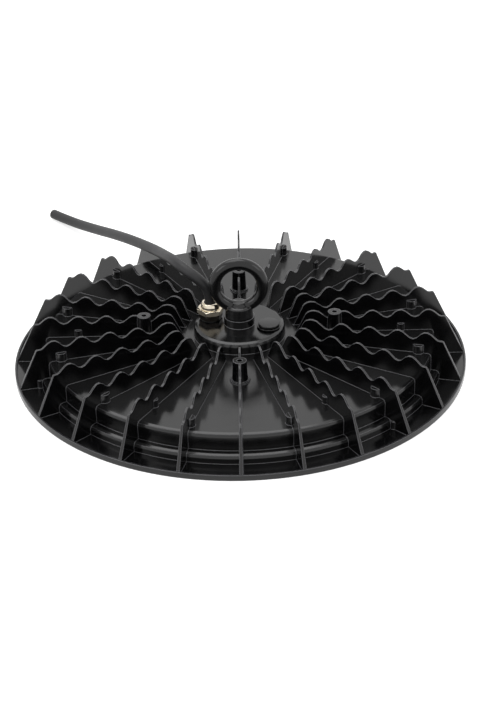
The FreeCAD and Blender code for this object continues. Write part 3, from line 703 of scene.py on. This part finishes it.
class PlugSettings(bpy.types.PropertyGroup):
    head: length_setting("Head", "Diameter of the plug's head", 14, 10, 16)
    edge: length_setting("Edge", "Radius of the head's edge", 0.4, 0.1, 0.6)


class LeadSettings(bpy.types.PropertyGroup):
    diameter: length_setting("Diameter", "Outside diameter of the supply lead", 7.2, 5, 9)
    length: length_setting("Length", "Length of the supply lead", 280, 200, 400)


class ScrewSettings(bpy.types.PropertyGroup):
    lens_circle: length_setting("Lens screws", "Circle of the lens screws", 240.6, 200, 270)
    board_circle: length_setting("Board screws", "Circle of the board screws", 214, 180, 250)
    lens_count: count_setting("Lens count", "Number of lens screws", 12, 6, 24)
    board_count: count_setting("Board count", "Number of board screws", 6, 3, 12)
    lens_head: length_setting("Lens heads", "Diameter of the lens screws' heads", 6.4, 5, 8)
    board_head: length_setting("Board heads", "Diameter of the board screws' heads", 5.6, 5, 8)


class LedSettings(bpy.types.PropertyGroup):
    size: length_setting("Package", "Width of a light package", 3, 1.5, 5)
    spacing: length_setting("Spacing", "Spacing along a ring of packages", 19, 8, 40)
    ring_step: length_setting("Ring step", "Distance between rings of packages", 13, 8, 30)
    first_ring: length_setting("First ring", "Radius of the innermost ring", 57, 40, 90)
    rings: count_setting("Rings", "Number of rings of packages", 4, 1, 6)


class StageSettings(bpy.types.PropertyGroup):
    floor: colour_setting("Floor", "Colour of the floor", "#e6e6e6")
    ambient: number_setting("Ambient", "Strength of the soft light from all round", 0.7, 0, 3)
    key: number_setting("Key", "Power of the softbox overhead", 14, 0, 200, "POWER")
    focal: number_setting("Focal length", "Focal length in millimetres", 100.53, 20, 300)


# ---------------------------------------------------------------- operators

class HIGHBAY_OT_camera(bpy.types.Operator):
    """Sets the camera in front of the light and above it"""
    bl_idname = "highbay.camera"
    bl_label = "Camera"

    def execute(self, context):
        data = bpy.data.cameras.new("camera")
        data.lens = context.scene.highbay_stage.focal
        data.sensor_width = 36
        data.clip_start = 0.05
        data.clip_end = 30
        camera = bpy.data.objects.new("camera", data)
        context.scene.collection.objects.link(camera)
        place = Vector(CAMERA_PLACE) * MM
        aim = Vector(CAMERA_AIM) * MM
        ahead = (aim - place).normalized()
        right = ahead.cross(Vector((0, 0, 1))).normalized()
        up = right.cross(ahead)
        roll = math.radians(CAMERA_ROLL)
        tilted_right = right * math.cos(roll) + up * math.sin(roll)
        tilted_up = up * math.cos(roll) - right * math.sin(roll)
        turn = Matrix((tilted_right, tilted_up, -ahead)).transposed()
        camera.matrix_world = Matrix.Translation(place) @ turn.to_4x4()
        context.scene.camera = camera
        return {"FINISHED"}


class HIGHBAY_OT_supply_lead(bpy.types.Operator):
    """Lays the supply lead from the gland to the floor behind the rim"""
    bl_idname = "highbay.supply_lead"
    bl_label = "Supply lead"

    def execute(self, context):
        settings = context.scene.highbay_lead
        data = bpy.data.curves.new("rubber_lead", "CURVE")
        data.dimensions = "3D"
        data.resolution_u = 10
        data.bevel_depth = settings.diameter / 2
        data.bevel_resolution = 6
        data.use_fill_caps = True
        line = data.splines.new("NURBS")
        line.points.add(len(LEAD_ROUTE) - 1)
        for point, route in zip(line.points, LEAD_ROUTE):
            point.co = (*(Vector(route) * MM), 1)
        line.order_u = 3
        line.use_endpoint_u = True
        lead = bpy.data.objects.new("rubber_lead", data)
        context.scene.collection.objects.link(lead)
        data.materials.append(rubber_sheath(
            "black_rubber_sheath", from_hex("#1d1d1e"), from_hex("#303032"), 0.5))
        settle(lead, "supply_lead")
        return {"FINISHED"}


class HIGHBAY_OT_housing(bpy.types.Operator):
    """Paints the finned casting"""
    bl_idname = "highbay.housing"
    bl_label = "Housing"

    def execute(self, context):
        settings = context.scene.highbay_housing
        dress(["heatsink_housing"], black_powder_coat(settings.paint, settings.roughness))
        return {"FINISHED"}


class HIGHBAY_OT_lifting_eye(bpy.types.Operator):
    """Forges the lifting eye: ring, crown, collar and shank in one skin"""
    bl_idname = "highbay.lifting_eye"
    bl_label = "Lifting eye"

    def execute(self, context):
        settings = context.scene.highbay_eye
        material = painted_forged_steel(settings.paint, settings.roughness)
        outer = (EYE_HIGH[0] - EYE_LOW[0]) / 2
        wire = settings.wire / MM / 2
        centre_z = EYE_HIGH[2] - outer
        seat_z = centre_z - EYE_CENTRE_RISE
        collar = settings.collar / MM / 2
        wall = settings.collar_height / MM
        crown = settings.crown / MM / 2
        shank = settings.shank / MM / 2
        shank_low = EYE_LOW[2] - seat_z
        top = EYE_CENTRE_RISE - (outer - 2 * wire) - 0.1
        body = rounded([
            (0, shank_low),
            (shank, shank_low, 0.4),
            (shank, 0, 0),
            (collar, 0, 0.3),
            (collar - 0.5, wall, 0.8),
            (collar - 2.6, wall + 0.5, 2.0),
            (crown, top, 1.2),
            (0, top),
        ])
        points, faces = joined(
            upright_ring(outer - wire, wire, centre_z), lathe(body, 0, 0, seat_z))
        eye = make_piece("forged_eye", points, faces, material, "lifting_eye")
        fused(eye, voxel_mm=0.3, smoothing=2)
        return {"FINISHED"}


class HIGHBAY_OT_gland(bpy.types.Operator):
    """Turns the cable gland's body and dome nut"""
    bl_idname = "highbay.gland"
    bl_label = "Cable gland"

    def execute(self, context):
        settings = context.scene.highbay_gland
        bright = nickel_plated_brass(
            "bright_nickel_plated_brass", settings.plating, from_hex("#d6c8ae"), settings.roughness)
        # The body is darker than the nut, matched
        # Painted shade: the nut's plating made darker, for the nut's shadow and the dark hub that the
        # body's flats reflect
        shaded_plating = nickel_plated_brass(
            "nickel_plated_brass_painted_shade", from_hex("#4c4843"), from_hex("#3a3632"), 0.22)
        turn = math.degrees(settings.turn)
        flats = settings.nut_flats / MM
        tip = flats / math.sqrt(3)
        mouth = settings.mouth / MM / 2
        height = NUT_TOP_Z - NUT_LOW_Z
        hollow = 5.75
        dome = rounded([
            (hollow, 0),
            (tip - 0.8, 0, 0),
            (tip, 0.45, 0),
            (tip, 2.7, 0),
            (tip - 1.6, 3.4, 0.3),
            (6.5, 3.4, 0.25),
            (6.25, 5.0, 1.2),
            (5.6, height, 1.1),
            (mouth, height, 0.5),
            (mouth, 3.0, 0),
            (hollow, 3.0, 0),
            (hollow, 0),
        ], 6)[:-1]
        points, faces = lathe(split_long(dome + dome[:1], NUT_RUN)[:-1], GLAND_X, GLAND_Y,
                              NUT_LOW_Z, GLAND_STEPS, flats, turn, closed=True)
        make_piece("dome_nut", points, faces, bright, "gland_dome_nut")
        flats = settings.body_flats / MM
        tip = flats / math.sqrt(3)
        low, high = corner("gland_body", 0)[2], corner("gland_body", 1)[2]
        hex_top = NUT_LOW_Z - NUT_GAP - low
        seat = O_RING_TOP_Z - low
        body = [
            (4.0, 0), (5.6, 0), (5.95, 0.4), (5.95, seat), (tip - 0.8, seat), (tip, seat + 0.45),
            (tip, hex_top - 0.9), (tip - 1.3, hex_top), (5.7, hex_top),
            (5.7, high - low), (4.0, high - low),
        ]
        points, faces = lathe(split_long(body + body[:1], BODY_RUN)[:-1], GLAND_X, GLAND_Y,
                              low, GLAND_STEPS, flats, turn, closed=True)
        make_piece("gland_hexagon", points, faces, shaded_plating, "gland_body")
        return {"FINISHED"}


class HIGHBAY_OT_plug(bpy.types.Operator):
    """Moulds the blanking plug"""
    bl_idname = "highbay.plug"
    bl_label = "Blanking plug"

    def execute(self, context):
        settings = context.scene.highbay_plug
        head = settings.head / MM / 2
        edge = settings.edge / MM
        top = PLUG_TOP_Z - PLUG_LOW_Z
        seat = O_RING_TOP_Z - PLUG_LOW_Z
        profile = rounded([
            (0, 4.5),
            (4.0, 4.5, 0.3),
            (4.0, 0, 0.3),
            (5.95, 0, 0.4),
            (5.95, seat, 0),
            (8.0, seat, 0.15),
            (8.0, seat + 0.5, 0.2),
            (6.3, seat + 0.5, 0),
            (6.3, seat + 0.9, 0),
            (head, seat + 0.9, 0.15),
            (head, top, edge),
            (0, top),
        ])
        points, faces = lathe(profile, PLUG_X, PLUG_Y, PLUG_LOW_Z)
        make_piece("moulded_plug", points, faces, moulded_plastic(
            "black_moulded_nylon", from_hex("#0b0b0c"), from_hex("#121213"), 0.22),
            "blanking_plug")
        return {"FINISHED"}


class HIGHBAY_OT_seals(bpy.types.Operator):
    """Gives the seals and the gasket their rubber"""
    bl_idname = "highbay.seals"
    bl_label = "Seals"

    def execute(self, context):
        dress(["gland_seal", "gland_o_ring", "plug_o_ring"], rubber_sheath(
            "black_nitrile_rubber", from_hex("#141414"), from_hex("#1f1f1f"), 0.5))
        dress(["lens_gasket"], rubber_sheath(
            "pale_silicone_rubber", from_hex("#c4c4c0"), from_hex("#d6d6d2"), 0.45))
        return {"FINISHED"}


class HIGHBAY_OT_fasteners(bpy.types.Operator):
    """Makes the lens and board screws, and gives the other fasteners their steel"""
    bl_idname = "highbay.fasteners"
    bl_label = "Fasteners"

    def execute(self, context):
        settings = context.scene.highbay_screws
        steel = tumbled_steel()
        dress(["earth_screw", "eye_washer", "eye_nut"], steel)
        self.ring("lens_screws", "lens_screw_heads", settings.lens_circle, settings.lens_count,
                  LENS_SCREW_FIRST, settings.lens_head, LENS_HEAD_HEIGHT, steel)
        self.ring("board_screws", "board_screw_heads", settings.board_circle, settings.board_count,
                  BOARD_SCREW_FIRST, settings.board_head, BOARD_HEAD_HEIGHT, steel)
        return {"FINISHED"}

    @staticmethod
    def ring(node, name, circle, count, first, head, head_height, material):
        """Screws driven upwards, evenly round a circle, with a hexagon socket in each pan head."""
        low, high = corner(node, 0)[2], corner(node, 1)[2]
        across = head / MM * SOCKET_SHARE
        head = head / MM / 2
        outside = rounded([
            (head - 0.7, 0),
            (head - 0.3, 0.15, 0.3),
            (head, 1.1, 0.5),
            (head, head_height, 0.1),
            (SCREW_SHANK_R, head_height, 0),
            (SCREW_SHANK_R, high - low - 0.5, 0),
            (SCREW_SHANK_R - 0.5, high - low, 0),
            (0, high - low),
        ])
        socket = [(0, SOCKET_DEPTH), (head, SOCKET_DEPTH), (head, 0)]
        forms = []
        for index in range(count):
            angle = math.radians(first + 360 / count * index)
            x = circle / MM / 2 * math.cos(angle)
            y = circle / MM / 2 * math.sin(angle)
            recess = lathe(socket, x, y, low, SCREW_STEPS, across, math.degrees(angle))
            forms.append(recess)
            forms.append(lathe(outside, x, y, low, SCREW_STEPS))
            forms.append(bridge(recess[0], len(socket), outside[0], x, y, low))
        points, faces = joined(*forms)
        make_piece(name, points, faces, material, node)


class HIGHBAY_OT_light_side(bpy.types.Operator):
    """Finishes the clear lens plate and the circuit board"""
    bl_idname = "highbay.light_side"
    bl_label = "Lens and board"

    def execute(self, context):
        dress(["lens_plate"], clear_polycarbonate())
        dress(["led_board"], white_solder_mask())
        return {"FINISHED"}


class HIGHBAY_OT_led_packages(bpy.types.Operator):
    """Sets the light packages in their rings under the board"""
    bl_idname = "highbay.led_packages"
    bl_label = "Light packages"

    def execute(self, context):
        settings = context.scene.highbay_led
        half = settings.size / MM / 2
        low = corner("led_chips", 0)[2]
        frames = []
        domes = []
        inner = half * WELL_SHARE
        for ring in range(settings.rings):
            radius = (settings.first_ring + ring * settings.ring_step) / MM
            count = round(2 * math.pi * radius * MM / settings.spacing)
            for index in range(count):
                angle = math.radians(360 / count * index - 90)
                out = Vector((math.cos(angle), math.sin(angle), 0))
                side = Vector((-out.y, out.x, 0))
                centre = out * radius
                frames.append(self.package(centre, out, side, half, inner, low))
                domes.append(self.dome(centre, inner * DOME_SHARE, low + DOME_DEPTH))
        points, faces = joined(*frames)
        make_piece("led_frames", points, faces, moulded_plastic(
            "white_package_resin", from_hex("#e8e6de"), from_hex("#f2f0ea"), 0.4),
            "led_chips", smooth=False)
        points, faces = joined(*domes)
        make_piece("led_domes", points, faces, led_phosphor(), "led_chips")
        return {"FINISHED"}

    @staticmethod
    def package(centre, out, side, half, inner, low):
        """A square frame with a round well in its underside."""
        points = []
        for step in range(PACKAGE_SIDES):
            angle = 2 * math.pi * (step + 0.5) / PACKAGE_SIDES
            c, s = math.cos(angle), math.sin(angle)
            square = half / max(abs(c), abs(s))
            for reach, z in ((square, BOARD_LOW_Z), (square, low), (inner, low),
                             (inner, low + WELL_DEPTH)):
                spot = centre + out * (reach * c) + side * (reach * s)
                points.append((spot.x, spot.y, z))
        faces = []
        for step in range(PACKAGE_SIDES):
            ahead = (step + 1) % PACKAGE_SIDES
            for row in range(3):
                faces.append((step * 4 + row, ahead * 4 + row,
                              ahead * 4 + row + 1, step * 4 + row + 1))
        faces.append(tuple(step * 4 + 3 for step in range(PACKAGE_SIDES)))
        faces.append(tuple(step * 4 for step in reversed(range(PACKAGE_SIDES))))
        return points, faces

    @staticmethod
    def dome(centre, radius, low):
        """A shallow dome of phosphor that fills the well."""
        points = []
        for share, drop in ((1.0, 0.1), (0.7, 0.04), (0.35, 0.01)):
            for step in range(PACKAGE_SIDES):
                angle = 2 * math.pi * step / PACKAGE_SIDES
                points.append((centre.x + radius * share * math.cos(angle),
                               centre.y + radius * share * math.sin(angle), low + drop))
        points.append((centre.x, centre.y, low))
        faces = []
        for step in range(PACKAGE_SIDES):
            ahead = (step + 1) % PACKAGE_SIDES
            for row in range(2):
                faces.append((row * PACKAGE_SIDES + step, row * PACKAGE_SIDES + ahead,
                              (row + 1) * PACKAGE_SIDES + ahead, (row + 1) * PACKAGE_SIDES + step))
            faces.append((2 * PACKAGE_SIDES + step, 2 * PACKAGE_SIDES + ahead, 3 * PACKAGE_SIDES))
        faces.append(tuple(range(PACKAGE_SIDES)))
        return points, faces


class HIGHBAY_OT_components(bpy.types.Operator):
    """Finishes the parts on the board and the wiring"""
    bl_idname = "highbay.components"
    bl_label = "Components and wiring"

    def execute(self, context):
        dress(["driver_chips", "bridge_rectifier"], moulded_plastic(
            "black_epoxy_moulding", from_hex("#131313"), from_hex("#1c1c1c"), 0.55, 0.4))
        dress(["terminal_block"], moulded_plastic(
            "white_moulded_polyester", from_hex("#dedcd2"), from_hex("#e8e6de"), 0.42))
        dress(["varistor"], moulded_plastic(
            "blue_dipped_epoxy", from_hex("#1d3f86"), from_hex("#274c98"), 0.3, 1.5))
        dress(["fuse"], fuse_glass())
        dress(["live_wire"], moulded_plastic(
            "brown_extruded_pvc", from_hex("#5a2f1c"), from_hex("#663722"), 0.4))
        dress(["neutral_wire"], moulded_plastic(
            "blue_extruded_pvc", from_hex("#1f4f9c"), from_hex("#2a5aa8"), 0.4))
        dress(["earth_wire"], earth_core_sheath())
        tin = tumbled_steel()
        tin.name = "tinned_copper"
        dress(["earth_terminal"], tin)
        return {"FINISHED"}


class HIGHBAY_OT_stage(bpy.types.Operator):
    """Lays the floor, the light all round and the softboxes"""
    bl_idname = "highbay.stage"
    bl_label = "Stage"

    def execute(self, context):
        settings = context.scene.highbay_stage
        data = bpy.data.meshes.new("floor")
        corners = [(-1, -1), (1, -1), (1, 1), (-1, 1)]
        data.from_pydata([(x * FLOOR_HALF, y * FLOOR_HALF, -FLOOR_DROP) for x, y in corners],
                         [], [(0, 1, 2, 3)])
        floor = bpy.data.objects.new("floor", data)
        context.scene.collection.objects.link(floor)
        data.materials.append(self.floor_paper(settings.floor))
        self.surroundings(context.scene, settings.ambient)
        for name, place, width, share in SOFTBOXES:
            self.softbox(name, place, width, settings.key * share)
        context.scene.view_settings.view_transform = "Standard"
        return {"FINISHED"}

    @staticmethod
    def floor_paper(colour):
        """Pale background paper: white in reflections, near white with its shadow when seen."""
        material, tree, output, _ = new_material("pale_background_paper")
        matt = add_node(tree, "ShaderNodeBsdfDiffuse", inputs={"Color": tuple(colour)})
        glow = add_node(tree, "ShaderNodeEmission",
                        inputs={"Color": (1, 1, 1, 1), "Strength": FLOOR_GLOW})
        seen = add_node(tree, "ShaderNodeAddShader")
        tree.links.new(matt.outputs[0], seen.inputs[0])
        tree.links.new(glow.outputs[0], seen.inputs[1])
        white = add_node(tree, "ShaderNodeEmission", inputs={"Color": (1, 1, 1, 1), "Strength": 1.0})
        path = add_node(tree, "ShaderNodeLightPath")
        first = add_node(tree, "ShaderNodeMixShader", links={0: path.outputs["Is Camera Ray"]})
        tree.links.new(matt.outputs[0], first.inputs[1])
        tree.links.new(seen.outputs[0], first.inputs[2])
        second = add_node(tree, "ShaderNodeMixShader", links={0: reflected(tree, path)})
        tree.links.new(first.outputs[0], second.inputs[1])
        tree.links.new(white.outputs[0], second.inputs[2])
        tree.links.new(second.outputs[0], output.inputs["Surface"])
        return material

    @staticmethod
    def surroundings(scene, strength):
        """White to the camera and in reflections, and softer as light."""
        world = bpy.data.worlds.new("studio")
        world.use_nodes = True
        tree = world.node_tree
        tree.nodes.clear()
        output = add_node(tree, "ShaderNodeOutputWorld")
        path = add_node(tree, "ShaderNodeLightPath")
        shown = add_node(tree, "ShaderNodeMath", {"operation": "MAXIMUM"},
                         links={0: reflected(tree, path), 1: path.outputs["Is Camera Ray"]})
        level = add_node(tree, "ShaderNodeMapRange", inputs={"To Min": strength, "To Max": 1.0},
                         links={"Value": shown.outputs[0]})
        light = add_node(tree, "ShaderNodeBackground", inputs={"Color": (1, 1, 1, 1)},
                         links={"Strength": level.outputs["Result"]})
        tree.links.new(light.outputs[0], output.inputs["Surface"])
        scene.world = world

    @staticmethod
    def softbox(name, place, width, power):
        """A square lamp that faces the origin."""
        data = bpy.data.lights.new(name, "AREA")
        data.shape = "SQUARE"
        data.size = width
        data.energy = power
        lamp = bpy.data.objects.new(name, data)
        bpy.context.scene.collection.objects.link(lamp)
        lamp.location = place
        lamp.rotation_euler = (-Vector(place)).to_track_quat("-Z", "Y").to_euler()


class HIGHBAY_PT_panel(bpy.types.Panel):
    """The light's pieces and their settings"""
    bl_label = "High Bay Light"
    bl_idname = "HIGHBAY_PT_panel"
    bl_space_type = "VIEW_3D"
    bl_region_type = "UI"
    bl_category = "High Bay"

    def draw(self, context):
        for name, group, operators in SECTIONS:
            box = self.layout.box()
            box.label(text=name)
            settings = getattr(context.scene, group)
            for prop in settings.bl_rna.properties:
                if prop.identifier not in {"rna_type", "name"}:
                    box.prop(settings, prop.identifier)
            for operator in operators:
                box.operator(operator)


SECTIONS = [
    ("Camera and stage", "highbay_stage", ["highbay.camera", "highbay.stage"]),
    ("Supply lead", "highbay_lead", ["highbay.supply_lead"]),
    ("Housing", "highbay_housing", ["highbay.housing"]),
    ("Lifting eye", "highbay_eye", ["highbay.lifting_eye"]),
    ("Cable gland", "highbay_gland", ["highbay.gland"]),
    ("Blanking plug", "highbay_plug", ["highbay.plug"]),
    ("Light side", "highbay_led", ["highbay.light_side", "highbay.led_packages"]),
    ("Small parts", "highbay_screws", ["highbay.seals", "highbay.fasteners", "highbay.components"]),
]

GROUPS = {
    "highbay_housing": HousingSettings,
    "highbay_eye": EyeSettings,
    "highbay_gland": GlandSettings,
    "highbay_plug": PlugSettings,
    "highbay_lead": LeadSettings,
    "highbay_screws": ScrewSettings,
    "highbay_led": LedSettings,
    "highbay_stage": StageSettings,
}

OPERATORS = [
    HIGHBAY_OT_camera,
    HIGHBAY_OT_supply_lead,
    HIGHBAY_OT_housing,
    HIGHBAY_OT_lifting_eye,
    HIGHBAY_OT_gland,
    HIGHBAY_OT_plug,
    HIGHBAY_OT_seals,
    HIGHBAY_OT_fasteners,
    HIGHBAY_OT_light_side,
    HIGHBAY_OT_led_packages,
    HIGHBAY_OT_components,
    HIGHBAY_OT_stage,
]


def register():
    for group in GROUPS.values():
        bpy.utils.register_class(group)
    for name, group in GROUPS.items():
        setattr(bpy.types.Scene, name, PointerProperty(type=group))
    for operator in OPERATORS:
        bpy.utils.register_class(operator)
    bpy.utils.register_class(HIGHBAY_PT_panel)


def unregister():
    bpy.utils.unregister_class(HIGHBAY_PT_panel)
    for operator in reversed(OPERATORS):
        bpy.utils.unregister_class(operator)
    for name in GROUPS:
        delattr(bpy.types.Scene, name)
    for group in reversed(GROUPS.values()):
        bpy.utils.unregister_class(group)


def main():
    register()
    for operator in OPERATORS:
        group, name = operator.bl_idname.split(".")
        getattr(getattr(bpy.ops, group), name)()


if __name__ == "__main__":
    main()
